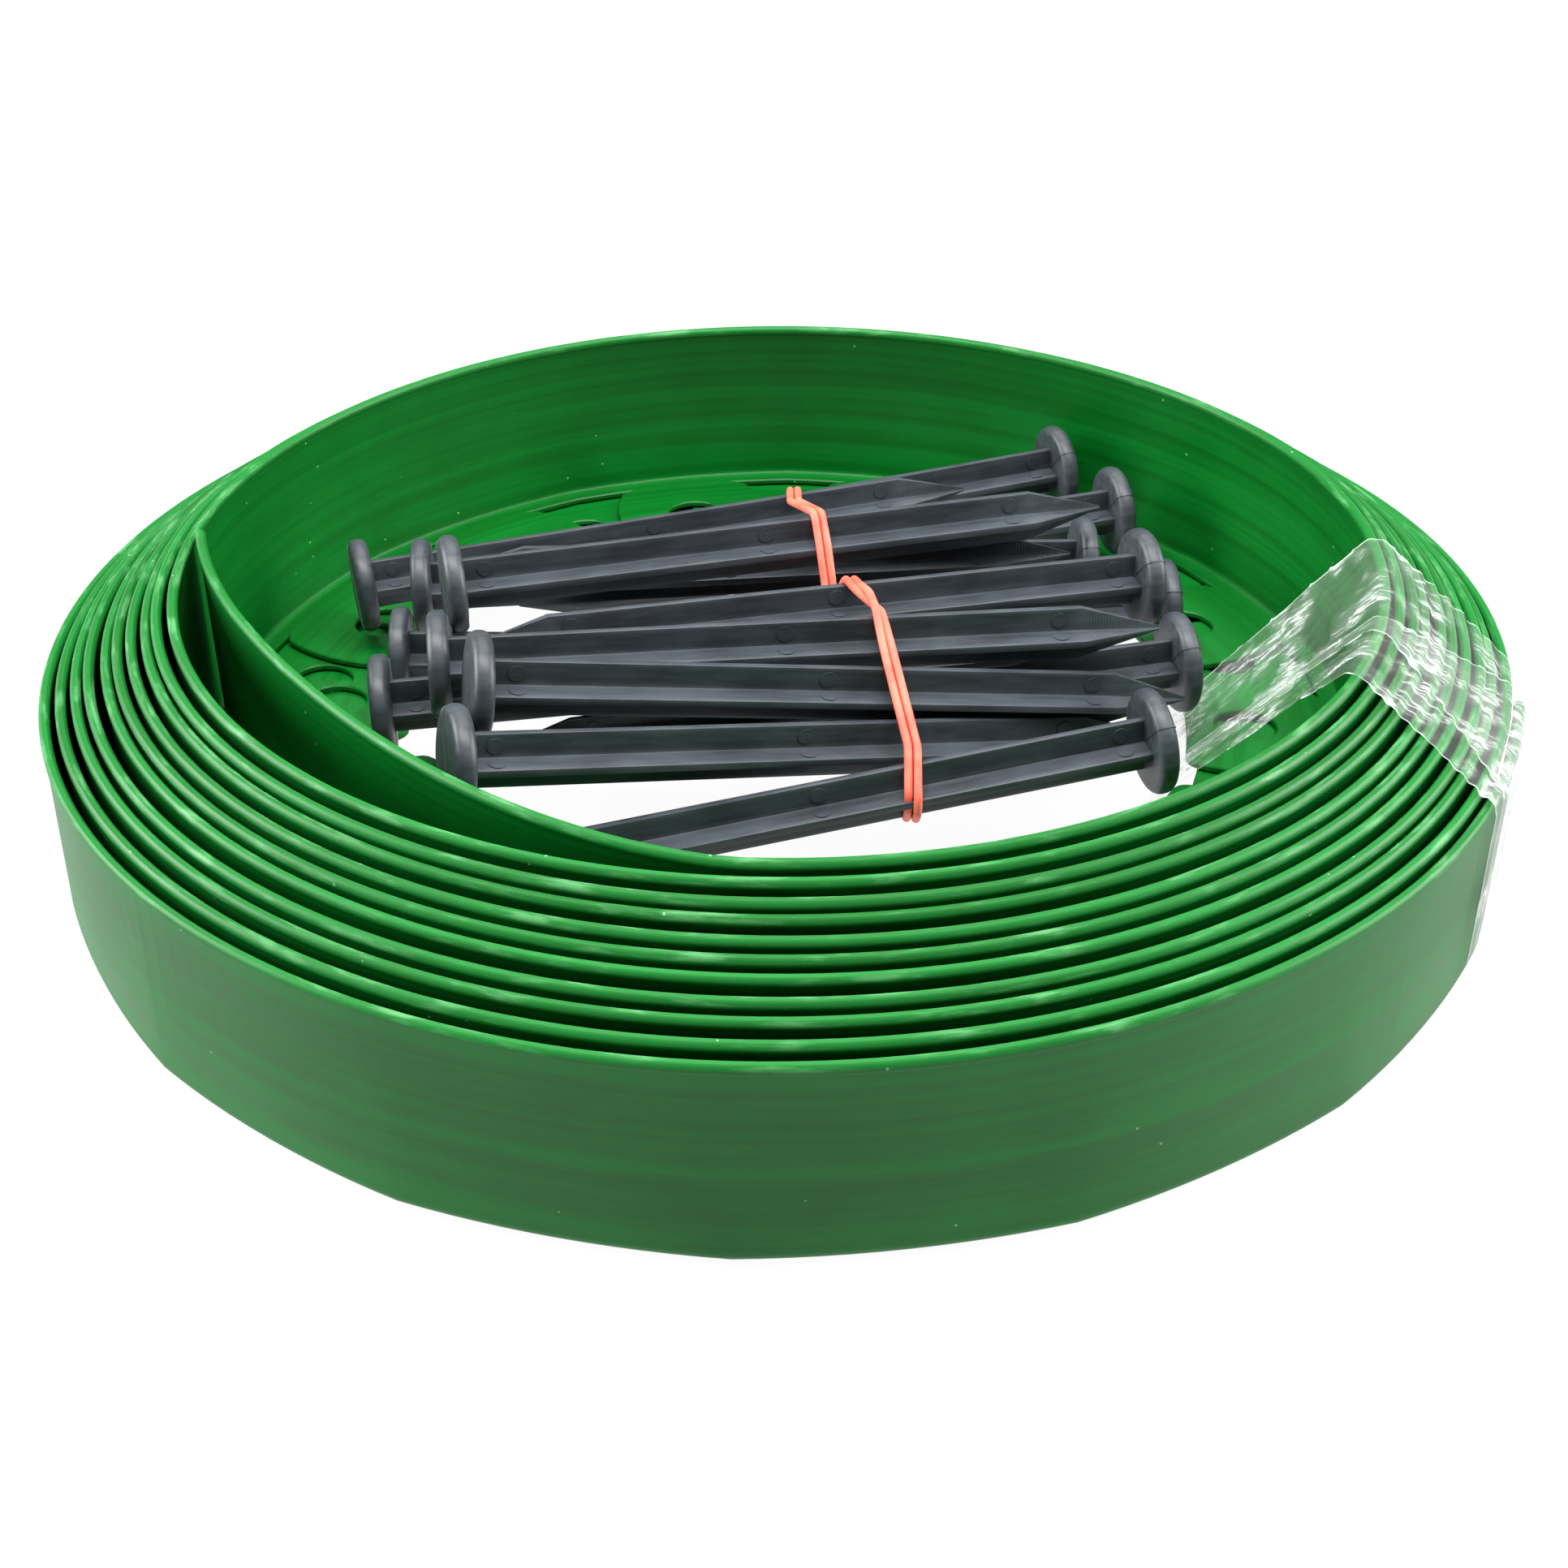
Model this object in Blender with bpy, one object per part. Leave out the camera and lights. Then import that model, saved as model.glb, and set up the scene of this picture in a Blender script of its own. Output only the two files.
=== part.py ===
"""Roll of lawn edging with its ground pegs.

One long strip of flexible L-section edging is wound into a coil that stands on its feet. The feet
lie on each other, so each turn sits one foot higher than the turn outside it. A rubber band holds
a bundle of pegs in the middle, and clear tape holds the coil. Metres, +Z up, the coil's axis on Z
and the floor at z = 0. The bundle lifts out along +Z.
"""

import math

import bmesh
import bpy
from mathutils import Euler, Vector

MM = 0.001

# The strip: a wall with an inward foot along its lower edge.
WALL_HEIGHT = 46.5 * MM
WALL_THICKNESS = 1.6 * MM
FOOT_THICKNESS = 1.6 * MM
TAB_PITCH = 66 * MM  # along the wall
TAB_REACH = 40 * MM  # from the wall's outer face to a tab's inner edge
SLOT_REACH = 6.5 * MM  # the same, in the slot between two tabs
TAB_HALF = 0.31  # of a pitch, from a tab's middle to its straight side
SLOT_HALF = 0.12  # of a pitch, from a slot's middle to where the tab's side starts

# The coil: azimuth in degrees, anticlockwise from +X, falling as the strip runs inwards.
OUTER_RADIUS = 169.1 * MM  # of the wall's outer face at the strip's outer end
TURN_PITCH = 3.14 * MM
TURN_RISE = 2.0 * MM
TURNS = 10.46
START_AZIMUTH = 345
RAMP_PART = 0.22  # of a turn, in which the strip climbs onto the turn below
FRONT_BULGE = 2.4 * MM  # outer turns, left of the front
FRONT_BULGE_AZIMUTH = 238
FRONT_BULGE_TURNS = 5  # it dies out over this many turns
BACK_BULGE = 2.6 * MM  # inner turns, at the back
BACK_BULGE_FROM = 6  # turns in from the outer end
BACK_BULGE_TURNS = 4
UNEVENNESS = 0.35 * MM  # of the gaps between turns
UNEVENNESS_TURNS = 2.6  # from one wide gap to the next
END_PULL = 15 * MM  # the inner free end is stiff and springs away from the coil
END_LENGTH = 0.24  # of a turn
END_SKEW = 1.15  # above 1 puts the widest pull nearer the end
WALK_STEP = 0.0005  # of a turn, when measuring along the strip

# The pegs.
PEG_LENGTH = 164 * MM
HEAD_RADIUS = 11.8 * MM
HEAD_THICKNESS = 4.6 * MM
HEAD_ROUND = 1.6 * MM
HEAD_SIDES = 20
RIB_SPAN = 12.6 * MM
RIB_THICKNESS = 1.9 * MM
TIP_LENGTH = 19 * MM
TIP_BLUNT = 0.8 * MM

# How each peg lies: (side of its head, x, y and z of the head's outer face in mm, slew and tilt in
# degrees). Slew turns the peg in plan, and tilt raises its right end.
PEG_LAY = [
    ("left", -108.1, 35.4, 34.5, 16.6, 2),
    ("left", -79.6, -1.2, 53.2, 14.5, 0.5),
    ("left", -90.8, 22.5, 41, 5.4, 0.6),
    ("left", -91.6, -38, 41.7, 8.1, 1.4),
    ("left", -76.7, -45.9, 56.8, 8, -1),
    ("left", -65.9, -63, 61.6, 12.9, -8.5),
    ("left", -68.9, -80.8, 53.7, 18.2, -8.6),
    ("left", -93.6, -0.4, 34.4, 3.6, -2.6),
    ("right", 78, 103, 37.6, 18, 2.6),
    ("right", 91.3, 79, 35.9, 14.6, 2.7),
    ("right", 88, 9.3, 50.6, 13.8, -0.5),
    ("right", 95, -11.8, 39.2, 11.1, 2.3),
    ("right", 98, 26.1, 34.3, 2.8, 2.5),
    ("right", 83.5, -49.5, 40.4, 13.1, 4.9),
    ("right", 79.5, 47.9, 35.4, 4.8, -1.5),
    ("left", -81.3, -17.6, 39.6, 5.3, -2.9),
]

# The rubber band lies round the bundle, aslant.
BAND_X_BACK = 3 * MM
BAND_X_FRONT = 28 * MM
BAND_Y_BACK = 45 * MM  # behind this it no longer slants
BAND_Y_FRONT = -60 * MM  # and in front of this
BAND_RADIUS = 1.3 * MM
BAND_GAP = 0.8 * MM
CROSSING_ROUNDS = 4  # of closing in on where a slewed peg meets the slanting band

# The tape runs over the coil on the right, from the outer wall to the inner edge of the feet.
TAPE_OUTER = (331, 348)  # azimuths of its edges on the outer wall
TAPE_INNER = (329, 359)  # and on the inner side
TAPE_THICKNESS = 0.5 * MM
TAPE_GAP = 1.8 * MM  # from its middle line to the outermost wall and rim
TAPE_TOP_GAP = 1.4 * MM  # over the inner rims
TAPE_FOOT_GAP = 4 * MM  # past the inner edge of the feet
TAPE_FLOOR_GAP = 1 * MM
TAPE_STEPS = 6  # across its width
SHARP_ANGLE = math.radians(30)


def material(name, colour, roughness):
    made = bpy.data.materials.new(name)
    made.use_nodes = True
    shader = made.node_tree.nodes["Principled BSDF"]
    shader.inputs["Base Color"].default_value = (*colour, 1)
    shader.inputs["Roughness"].default_value = roughness
    shader.inputs["Metallic"].default_value = 0
    return made


def link(name, data):
    piece = bpy.data.objects.new(name, data)
    bpy.context.scene.collection.objects.link(piece)
    return piece


def skinned(name, rings):
    """A mesh whose skin joins rings of points, with a face over the first ring and the last."""
    bm = bmesh.new()
    made = [[bm.verts.new(point) for point in ring] for ring in rings]
    for here, there in zip(made, made[1:]):
        for i, corner in enumerate(here):
            j = (i + 1) % len(here)
            bm.faces.new((corner, here[j], there[j], there[i]))
    bm.faces.new(made[0][::-1])
    bm.faces.new(made[-1])
    bmesh.ops.recalc_face_normals(bm, faces=bm.faces)
    mesh = bpy.data.meshes.new(name)
    bm.to_mesh(mesh)
    bm.free()
    return mesh


def smoothed(mesh):
    mesh.shade_smooth()
    mesh.set_sharp_from_angle(angle=SHARP_ANGLE)
    return mesh


# The coil's curve


def smooth(share):
    share = min(max(share, 0), 1)
    return share * share * (3 - 2 * share)


def azimuth_at(turn):
    return math.radians(START_AZIMUTH - 360 * turn)


def radius_at(turn):
    """Radius of the wall's outer face, this many turns in from the outer end."""
    azimuth = azimuth_at(turn)
    towards_bulge = math.cos(azimuth - math.radians(FRONT_BULGE_AZIMUTH))
    outer_share = 1 - smooth(turn / FRONT_BULGE_TURNS)
    inner_share = smooth((turn - BACK_BULGE_FROM) / BACK_BULGE_TURNS)
    radius = OUTER_RADIUS - TURN_PITCH * turn
    radius += FRONT_BULGE * outer_share * max(0, towards_bulge) ** 2
    radius += BACK_BULGE * inner_share * max(0, math.sin(azimuth)) ** 2
    radius += UNEVENNESS * math.sin(2 * math.pi * turn / UNEVENNESS_TURNS)
    into_end = (turn - TURNS + END_LENGTH) / END_LENGTH
    if into_end > 0:
        radius -= END_PULL * math.sin(math.pi * into_end**END_SKEW)
    return radius


def height_at(turn):
    """Height of the foot's underside: each turn stays level, then climbs one step."""
    whole = math.floor(turn)
    return TURN_RISE * (whole + smooth((turn - whole - 1 + RAMP_PART) / RAMP_PART))


def plan_point(turn):
    azimuth = azimuth_at(turn)
    return radius_at(turn) * Vector((math.cos(azimuth), math.sin(azimuth)))


def strip_stations():
    """(turn, reach of the foot) at the middle and corners of each tab, all along the strip."""
    phases = (
        (0.5 - SLOT_HALF, SLOT_REACH),
        (0.5 + SLOT_HALF, SLOT_REACH),
        (1 - TAB_HALF, TAB_REACH),
        (1.0, TAB_REACH),
        (1 + TAB_HALF, TAB_REACH),
    )
    stations = [(0.0, TAB_REACH)]
    turn, walked, count = 0.0, 0.0, 0
    before = plan_point(0.0)
    while turn < TURNS:
        phase, reach = phases[count % len(phases)]
        turn += WALK_STEP
        after = plan_point(turn)
        walked += (after - before).length
        before = after
        if walked >= (count // len(phases) + phase) * TAB_PITCH:
            stations.append((turn, reach))
            count += 1
    return stations


def strip_ring(turn, reach):
    """The strip's L-shaped outline at one station."""
    outline = (
        (0, 0),
        (0, WALL_HEIGHT),
        (WALL_THICKNESS, WALL_HEIGHT),
        (WALL_THICKNESS, FOOT_THICKNESS),
        (reach, FOOT_THICKNESS),
        (reach, 0),
    )
    azimuth, radius, base = azimuth_at(turn), radius_at(turn), height_at(turn)
    outwards = Vector((math.cos(azimuth), math.sin(azimuth)))
    return [(*((radius - inward) * outwards), base + up) for inward, up in outline]


def build_strip(look):
    rings = [strip_ring(turn, reach) for turn, reach in strip_stations()]
    mesh = smoothed(skinned("edging_strip", rings))
    mesh.materials.append(look)
    link("edging_strip", mesh)


# The pegs


def build_head():
    """A thick disc with a rounded rim, its outer face at x = 0 and its inner face towards +X."""
    bpy.ops.mesh.primitive_cylinder_add(
        vertices=HEAD_SIDES, radius=HEAD_RADIUS, depth=HEAD_THICKNESS, rotation=(0, math.pi / 2, 0)
    )
    head = bpy.context.object
    head.location.x = HEAD_THICKNESS / 2
    bpy.ops.object.transform_apply(location=True, rotation=True)
    rim = head.modifiers.new("rim", "BEVEL")
    rim.width = HEAD_ROUND
    rim.segments = 1
    rim.limit_method = "ANGLE"
    return head


def build_shaft():
    """A cross-section of four ribs, drawn out along +X and narrowed to a point."""
    span, rib = RIB_SPAN / 2, RIB_THICKNESS / 2
    cross = [
        (span, rib), (rib, rib), (rib, span), (-rib, span), (-rib, rib), (-span, rib),
        (-span, -rib), (-rib, -rib), (-rib, -span), (rib, -span), (rib, -rib), (span, -rib),
    ]
    stations = (
        (HEAD_THICKNESS / 2, 1.0),
        (PEG_LENGTH - TIP_LENGTH, 1.0),
        (PEG_LENGTH, TIP_BLUNT / RIB_SPAN),
    )
    rings = [[(along, y * size, z * size) for y, z in cross] for along, size in stations]
    return link("peg_shaft", skinned("peg_shaft", rings))


def build_peg_mesh():
    head, shaft = build_head(), build_shaft()
    union = head.modifiers.new("shaft", "BOOLEAN")
    union.operation = "UNION"
    union.solver = "EXACT"
    union.object = shaft
    graph = bpy.context.evaluated_depsgraph_get()
    mesh = bpy.data.meshes.new_from_object(head.evaluated_get(graph))
    bpy.data.objects.remove(head)
    bpy.data.objects.remove(shaft)
    return smoothed(mesh)


def peg_turn(side, slew, tilt):
    """A peg's turn from lying along +X, head at the left."""
    facing = 0 if side == "left" else math.pi
    rise = -tilt if side == "left" else tilt
    return Euler((0, math.radians(rise), facing + math.radians(slew)))


def build_pegs(look, parent):
    mesh = build_peg_mesh()
    mesh.materials.append(look)
    for number, (side, x, y, z, slew, tilt) in enumerate(PEG_LAY, start=1):
        peg = link(f"ground_peg_{number:02d}", mesh)
        peg.location = Vector((x, y, z)) * MM
        peg.rotation_euler = peg_turn(side, slew, tilt)
        peg.parent = parent


# The rubber band


def band_x(y):
    share = (BAND_Y_BACK - y) / (BAND_Y_BACK - BAND_Y_FRONT)
    return BAND_X_BACK + (BAND_X_FRONT - BAND_X_BACK) * min(max(share, 0), 1)


def peg_crossing(lay):
    """Where a peg's axis passes through the band, as (y, z)."""
    start = Vector(lay[1:4]) * MM
    slew, tilt = (math.radians(angle) for angle in lay[4:])
    along = Vector((1, math.tan(slew), math.tan(tilt)))
    point = start
    for _ in range(CROSSING_ROUNDS):
        point = start + along * (band_x(point.y) - start.x)
    return point.y, point.z


def turn_sign(a, b, c):
    return (b[0] - a[0]) * (c[1] - a[1]) - (b[1] - a[1]) * (c[0] - a[0])


def hull(points):
    """Convex outline of flat points, anticlockwise."""

    def half(ordered):
        kept = []
        for point in ordered:
            while len(kept) > 1 and turn_sign(kept[-2], kept[-1], point) <= 0:
                kept.pop()
            kept.append(point)
        return kept[:-1]

    ordered = sorted(set(points))
    return half(ordered) + half(ordered[::-1])


def band_path():
    """Points of the band's middle line, round the outermost ribs of the pegs it holds."""
    stand_off = RIB_SPAN / 2 + BAND_RADIUS + BAND_GAP
    corner = RIB_THICKNESS / 2
    around = []
    for y, z in map(peg_crossing, PEG_LAY):
        for side in (-1, 1):
            around += [
                (y + side * stand_off, z - corner),
                (y + side * stand_off, z + corner),
                (y - corner, z + side * stand_off),
                (y + corner, z + side * stand_off),
            ]
    return [(band_x(y), y, z) for y, z in hull(around)]


def build_band(look, parent):
    curve = bpy.data.curves.new("rubber_band", "CURVE")
    curve.dimensions = "3D"
    curve.bevel_depth = BAND_RADIUS
    curve.bevel_resolution = 1
    spline = curve.splines.new("POLY")
    path = band_path()
    spline.points.add(len(path) - 1)
    for point, place in zip(spline.points, path):
        point.co = (*place, 1)
    spline.use_cyclic_u = True
    curve.materials.append(look)
    link("rubber_band", curve).parent = parent


# The tape


def tape_section():
    """Middle line of the tape across the coil, as (radius, height, share of the way inwards)."""
    whole_turns = math.floor(TURNS)
    outside = OUTER_RADIUS + TAPE_GAP
    inner_wall = radius_at(whole_turns)
    top_foot = TURN_RISE * whole_turns
    high_top = top_foot + WALL_HEIGHT + TAPE_TOP_GAP
    inside = inner_wall - TAB_REACH - TAPE_FOOT_GAP
    return [
        (outside, TAPE_FLOOR_GAP, 0),
        (outside, WALL_HEIGHT + TAPE_GAP, 0),
        (inner_wall + TAPE_TOP_GAP, high_top, 1),
        (inner_wall - WALL_THICKNESS - TAPE_TOP_GAP, high_top, 1),
        (inside, top_foot, 1),
        (inside, TAPE_FLOOR_GAP, 1),
    ]


def thickened(line):
    """The outline of a tape that follows a line of (radius, height, share)."""
    steps = [
        Vector((b[0] - a[0], b[1] - a[1])).normalized()
        for a, b in zip(line, line[1:])
    ]
    outer, inner = [], []
    for (radius, height, share), before, after in zip(line, steps[:1] + steps, steps + steps[-1:]):
        normal = (before + after).orthogonal().normalized()
        offset = normal * TAPE_THICKNESS / 2 / normal.dot(before.orthogonal())
        outer.append((radius + offset.x, height + offset.y, share))
        inner.append((radius - offset.x, height - offset.y, share))
    return outer + inner[::-1]


def mix(first, last, share):
    return first + (last - first) * share


def tape_ring(outline, across):
    """The tape's outline at this share of its width."""
    ring = []
    for radius, height, share in outline:
        low = mix(TAPE_OUTER[0], TAPE_INNER[0], share)
        high = mix(TAPE_OUTER[1], TAPE_INNER[1], share)
        azimuth = math.radians(mix(low, high, across))
        ring.append((radius * math.cos(azimuth), radius * math.sin(azimuth), height))
    return ring


def build_tape(look):
    outline = thickened(tape_section())
    rings = [tape_ring(outline, step / TAPE_STEPS) for step in range(TAPE_STEPS + 1)]
    mesh = smoothed(skinned("packing_tape", rings))
    mesh.materials.append(look)
    link("packing_tape", mesh)


def clear_scene():
    for old in list(bpy.data.objects):
        bpy.data.objects.remove(old)


def build_roll():
    clear_scene()
    green = material("green_polyethylene", (0.002, 0.17, 0.03), 0.38)
    slate = material("slate_plastic", (0.055, 0.065, 0.075), 0.5)
    coral = material("coral_rubber", (0.85, 0.16, 0.09), 0.6)
    clear = material("clear_film", (0.85, 0.88, 0.86), 0.15)
    build_strip(green)
    build_tape(clear)
    lift = link("bundle_lift_axis", None)
    build_pegs(slate, lift)
    build_band(coral, lift)


build_roll()
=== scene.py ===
"""The looks of a roll of lawn edging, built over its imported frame.

The strip is one 66 mm unit of wall, bead and foot tab, repeated and wound along the coil's curve.
The pegs are one detailed peg, copied to where the frame's pegs lie. A doubled rubber band is
draped over them, and two windings of clear tape hold the coil. Metres, +Z up.
"""

import math

import bmesh
import bpy
import numpy as np
from mathutils import Matrix, Vector, noise
from mathutils.bvhtree import BVHTree


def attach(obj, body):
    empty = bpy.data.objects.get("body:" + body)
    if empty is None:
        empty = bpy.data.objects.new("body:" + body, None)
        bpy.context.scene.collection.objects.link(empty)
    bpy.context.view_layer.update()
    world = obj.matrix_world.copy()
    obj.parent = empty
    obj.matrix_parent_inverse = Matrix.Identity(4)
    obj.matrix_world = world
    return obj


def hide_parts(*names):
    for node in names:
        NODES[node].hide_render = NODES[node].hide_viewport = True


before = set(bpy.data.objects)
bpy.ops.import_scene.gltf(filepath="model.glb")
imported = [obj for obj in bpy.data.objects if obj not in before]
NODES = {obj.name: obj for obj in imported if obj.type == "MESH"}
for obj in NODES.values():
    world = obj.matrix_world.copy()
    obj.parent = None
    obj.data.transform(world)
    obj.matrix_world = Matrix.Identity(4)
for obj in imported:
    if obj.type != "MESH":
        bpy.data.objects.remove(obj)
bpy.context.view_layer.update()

MM = 0.001
FACING = 0.9  # a face with this much of its normal along an axis faces that way
SHARP = math.radians(60)  # an edge with more than this between its faces is a sharp one
NEAR = 0.12 * MM  # places closer than this count as the same

# The strip, seen along its run: "in" is the way the foot points, towards the coil's middle.
WALL_HEIGHT = 46.5 * MM
SHEET = 1.6 * MM  # thickness of wall and foot
FOLD_RADIUS = 2.8 * MM
BEAD = [(0.4, 2.0), (0.45, 2.4), (0.75, 2.35), (0.55, 1.8), (0.3, 1.0)]  # mm up, mm thick
BEAD_FOOT = WALL_HEIGHT - sum(up for up, _ in BEAD) * MM
UNIT = 66 * MM
UNIT_CUTS = 12
UNIT_SEAM = 0.02 * MM  # points of neighbouring units this close are merged
ROOT_REACH = 6.5 * MM  # the foot's narrow root, which the tabs grow from
ROOT_HALF = UNIT / 4  # half of a tab's width at the root
TAB_REACH = 40 * MM
TAB_WIDEST = 24 * MM  # in from the wall, where a tab is widest
TAB_HALF = 21.8 * MM
TAB_SIDE_RADIUS = 38 * MM
TAB_CORNER = 3 * MM
TAB_ROWS = (8, 10.5, 14, 18, 22, 26, 30, 34, 37, 38.3, 39.3, 40)  # mm in from the wall
HOLE_PLACE = 26 * MM
HOLE_RADIUS = 7.5 * MM
HOLE_SIDES = 24
HOLE_CUTTER = 8 * MM  # height of the piece that cuts the hole
FOLDED_RADIUS = 142 * MM  # of the turn on which the tabs have the widths above
EDGE_ROUND = 0.35 * MM
FACET = 0.5 * MM  # the foot's bends at the slots, and how high up the wall they reach
STRAIGHT_HEIGHT = 26 * MM

# The coil: azimuth in degrees, anticlockwise from +X, falling as the strip runs inwards.
OUTER_RADIUS = 169.1 * MM
TURN_PITCH = 3.14 * MM
TURN_RISE = 2.0 * MM
TURNS = 10.46
START_AZIMUTH = 345
RAMP_PART = 0.22
FRONT_BULGE = 2.4 * MM
FRONT_BULGE_AZIMUTH = 238
FRONT_BULGE_TURNS = 5
BACK_BULGE = 2.6 * MM
BACK_BULGE_FROM = 6
BACK_BULGE_TURNS = 4
UNEVENNESS = 0.35 * MM
UNEVENNESS_TURNS = 2.6
END_PULL = 15 * MM
END_LENGTH = 0.24
END_SKEW = 1.15
POINTS_A_TURN = 180

# The pegs, head's outer face at x = 0 and the shaft along +X.
PEG_LENGTH = 164 * MM
HEAD_RADIUS = 11.8 * MM
HEAD_THICKNESS = 4.6 * MM
HEAD_ROUND = 1.9 * MM
HEAD_SIDES = 64
RIDGE_WIDTH = 0.35 * MM
RIDGE_ACROSS = 0.3 * MM  # how much wider the ridge is than the head, and how much thicker
RIDGE_THROUGH = 0.24 * MM
RIB_SPAN = 12.6 * MM
RIB_THICKNESS = 1.9 * MM
RIB_EDGE = 1.6 * MM  # thickness at its outer edge, where the mould's draft has thinned it
TIP_LENGTH = 19 * MM
TIP_BLUNT = 0.8 * MM
SHAFT_ROUND = 0.3 * MM
PIN_PLACES = (10 * MM, 78 * MM, 140 * MM)  # marks of the mould's ejector pins
PIN_RADIUS = 1.8 * MM
PIN_PROUD = 0.12 * MM
AXIS_ROUNDS = 4  # passes that find a peg's axis

# The camera
LENS = 51.6
SENSOR = 36
CAMERA_PLACE = (0.4 * MM, -473.7 * MM, 292.7 * MM)
CAMERA_TILT = math.radians(90 - 31.9)


# Working by hand in edit mode


def start_piece(name, add, **settings):
    """Adds a primitive with nothing else selected, and opens it in edit mode."""
    bpy.ops.object.select_all(action="DESELECT")
    add(**settings)
    piece = bpy.context.object
    piece.name = name
    piece.data.name = name
    bpy.ops.object.mode_set(mode="EDIT")
    return piece


def pick(piece, kind, test):
    """Selects only the piece's faces, edges or corners that pass the test."""
    bpy.ops.mesh.select_mode(type=kind)
    bpy.ops.mesh.select_all(action="DESELECT")
    mesh = bmesh.from_edit_mesh(piece.data)
    mesh.normal_update()
    for part in {"VERT": mesh.verts, "EDGE": mesh.edges, "FACE": mesh.faces}[kind]:
        part.select_set(bool(test(part)))
    mesh.select_flush_mode()
    bmesh.update_edit_mesh(piece.data)


def extrude(move):
    bpy.ops.mesh.extrude_region_move(TRANSFORM_OT_translate={"value": move})


def resize(scale, centre):
    bpy.ops.transform.resize(value=scale, center_override=centre)


def middle(edge):
    return (edge.verts[0].co + edge.verts[1].co) / 2


def close_piece():
    bpy.ops.object.mode_set(mode="OBJECT")


def select_only(piece):
    bpy.ops.object.select_all(action="DESELECT")
    bpy.context.view_layer.objects.active = piece
    piece.select_set(True)


def apply_modifier(piece, name, kind, **settings):
    select_only(piece)
    modifier = piece.modifiers.new(name, kind)
    for key, value in settings.items():
        setattr(modifier, key, value)
    bpy.ops.object.modifier_apply(modifier=name)


def combine(piece, other, operation):
    """Boolean of two pieces, which uses the second one up."""
    apply_modifier(piece, operation.lower(), "BOOLEAN", operation=operation, object=other, solver="EXACT")
    bpy.data.objects.remove(other)


def shade(piece, angle=35):
    select_only(piece)
    bpy.ops.object.shade_smooth_by_angle(angle=math.radians(angle))


# Shader maths


class Wire:
    """One output of a node, with Python's operators."""

    def __init__(self, maker, socket):
        self.maker = maker
        self.socket = socket

    def math(self, operation, other=None):
        values = {0: self}
        if other is not None:
            values[1] = other
        return self.maker.node("ShaderNodeMath", {"operation": operation}, values)

    def __add__(self, other):
        return self.math("ADD", other)

    __radd__ = __add__

    def __mul__(self, other):
        return self.math("MULTIPLY", other)

    __rmul__ = __mul__

    def __sub__(self, other):
        return self.math("SUBTRACT", other)

    def __rsub__(self, other):
        return (self * -1) + other

    def __pow__(self, other):
        return self.math("POWER", other)

    def __abs__(self):
        return self.math("ABSOLUTE")

    def above(self, low, high):
        """0 below low, 1 above high, and smooth between."""
        settings = {"interpolation_type": "SMOOTHSTEP"}
        values = {"Value": self, "From Min": low, "From Max": high}
        return self.maker.node("ShaderNodeMapRange", settings, values)


class Finish:
    """A material and its nodes."""

    def __init__(self, name):
        self.material = bpy.data.materials.new(name)
        self.material.use_nodes = True
        self.tree = self.material.node_tree
        self.shader = self.tree.nodes["Principled BSDF"]

    def node(self, kind, settings=None, values=None, output=0):
        made = self.tree.nodes.new(kind)
        for key, value in (settings or {}).items():
            setattr(made, key, value)
        for key, value in (values or {}).items():
            self.feed(made.inputs[key], value)
        return Wire(self, made.outputs[output])

    def feed(self, socket, value):
        if isinstance(value, Wire):
            self.tree.links.new(value.socket, socket)
        else:
            socket.default_value = value

    def set(self, **values):
        """Sets the shader's sockets by name, with _ for a space."""
        for key, value in values.items():
            self.feed(self.shader.inputs[key.replace("_", " ")], value)

    def place(self):
        return self.node("ShaderNodeTexCoord", output="Object")

    def attribute(self, name):
        return self.node("ShaderNodeAttribute", {"attribute_name": name}, output="Vector")

    def axis(self, vector, index):
        return self.node("ShaderNodeSeparateXYZ", values={0: vector}, output=index)

    def stretch(self, vector, scale):
        return self.node("ShaderNodeVectorMath", {"operation": "MULTIPLY"}, {0: vector, 1: scale})

    def noise(self, vector, scale, detail=3, roughness=0.55):
        values = {"Vector": vector, "Scale": scale, "Detail": detail, "Roughness": roughness}
        return self.node("ShaderNodeTexNoise", values=values)

    def specks(self, vector, scale, size):
        """Small dots scattered at random, 1 in a dot."""
        values = {"Vector": vector, "Scale": scale}
        return 1 - self.node("ShaderNodeTexVoronoi", values=values).above(size * 0.5, size)

    def blend(self, share, first, second):
        settings = {"data_type": "RGBA"}
        values = {0: share, 6: first, 7: second}
        return self.node("ShaderNodeMix", settings, values, output=2)

    def bump(self, height, distance, strength=1.0, normal=None):
        values = {"Height": height, "Distance": distance, "Strength": strength}
        if normal is not None:
            values["Normal"] = normal
        return self.node("ShaderNodeBump", values=values)


def colour(red, green, blue):
    """A colour given as it looks on a screen, 0 to 255, in the shader's linear values."""

    def linear(value):
        value = value / 255
        return value / 12.92 if value <= 0.04045 else ((value + 0.055) / 1.055) ** 2.4

    return (linear(red), linear(green), linear(blue), 1)


# The coil's curve


def smooth(share):
    share = min(max(share, 0), 1)
    return share * share * (3 - 2 * share)


def azimuth_at(turn):
    return math.radians(START_AZIMUTH - 360 * turn)


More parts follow.
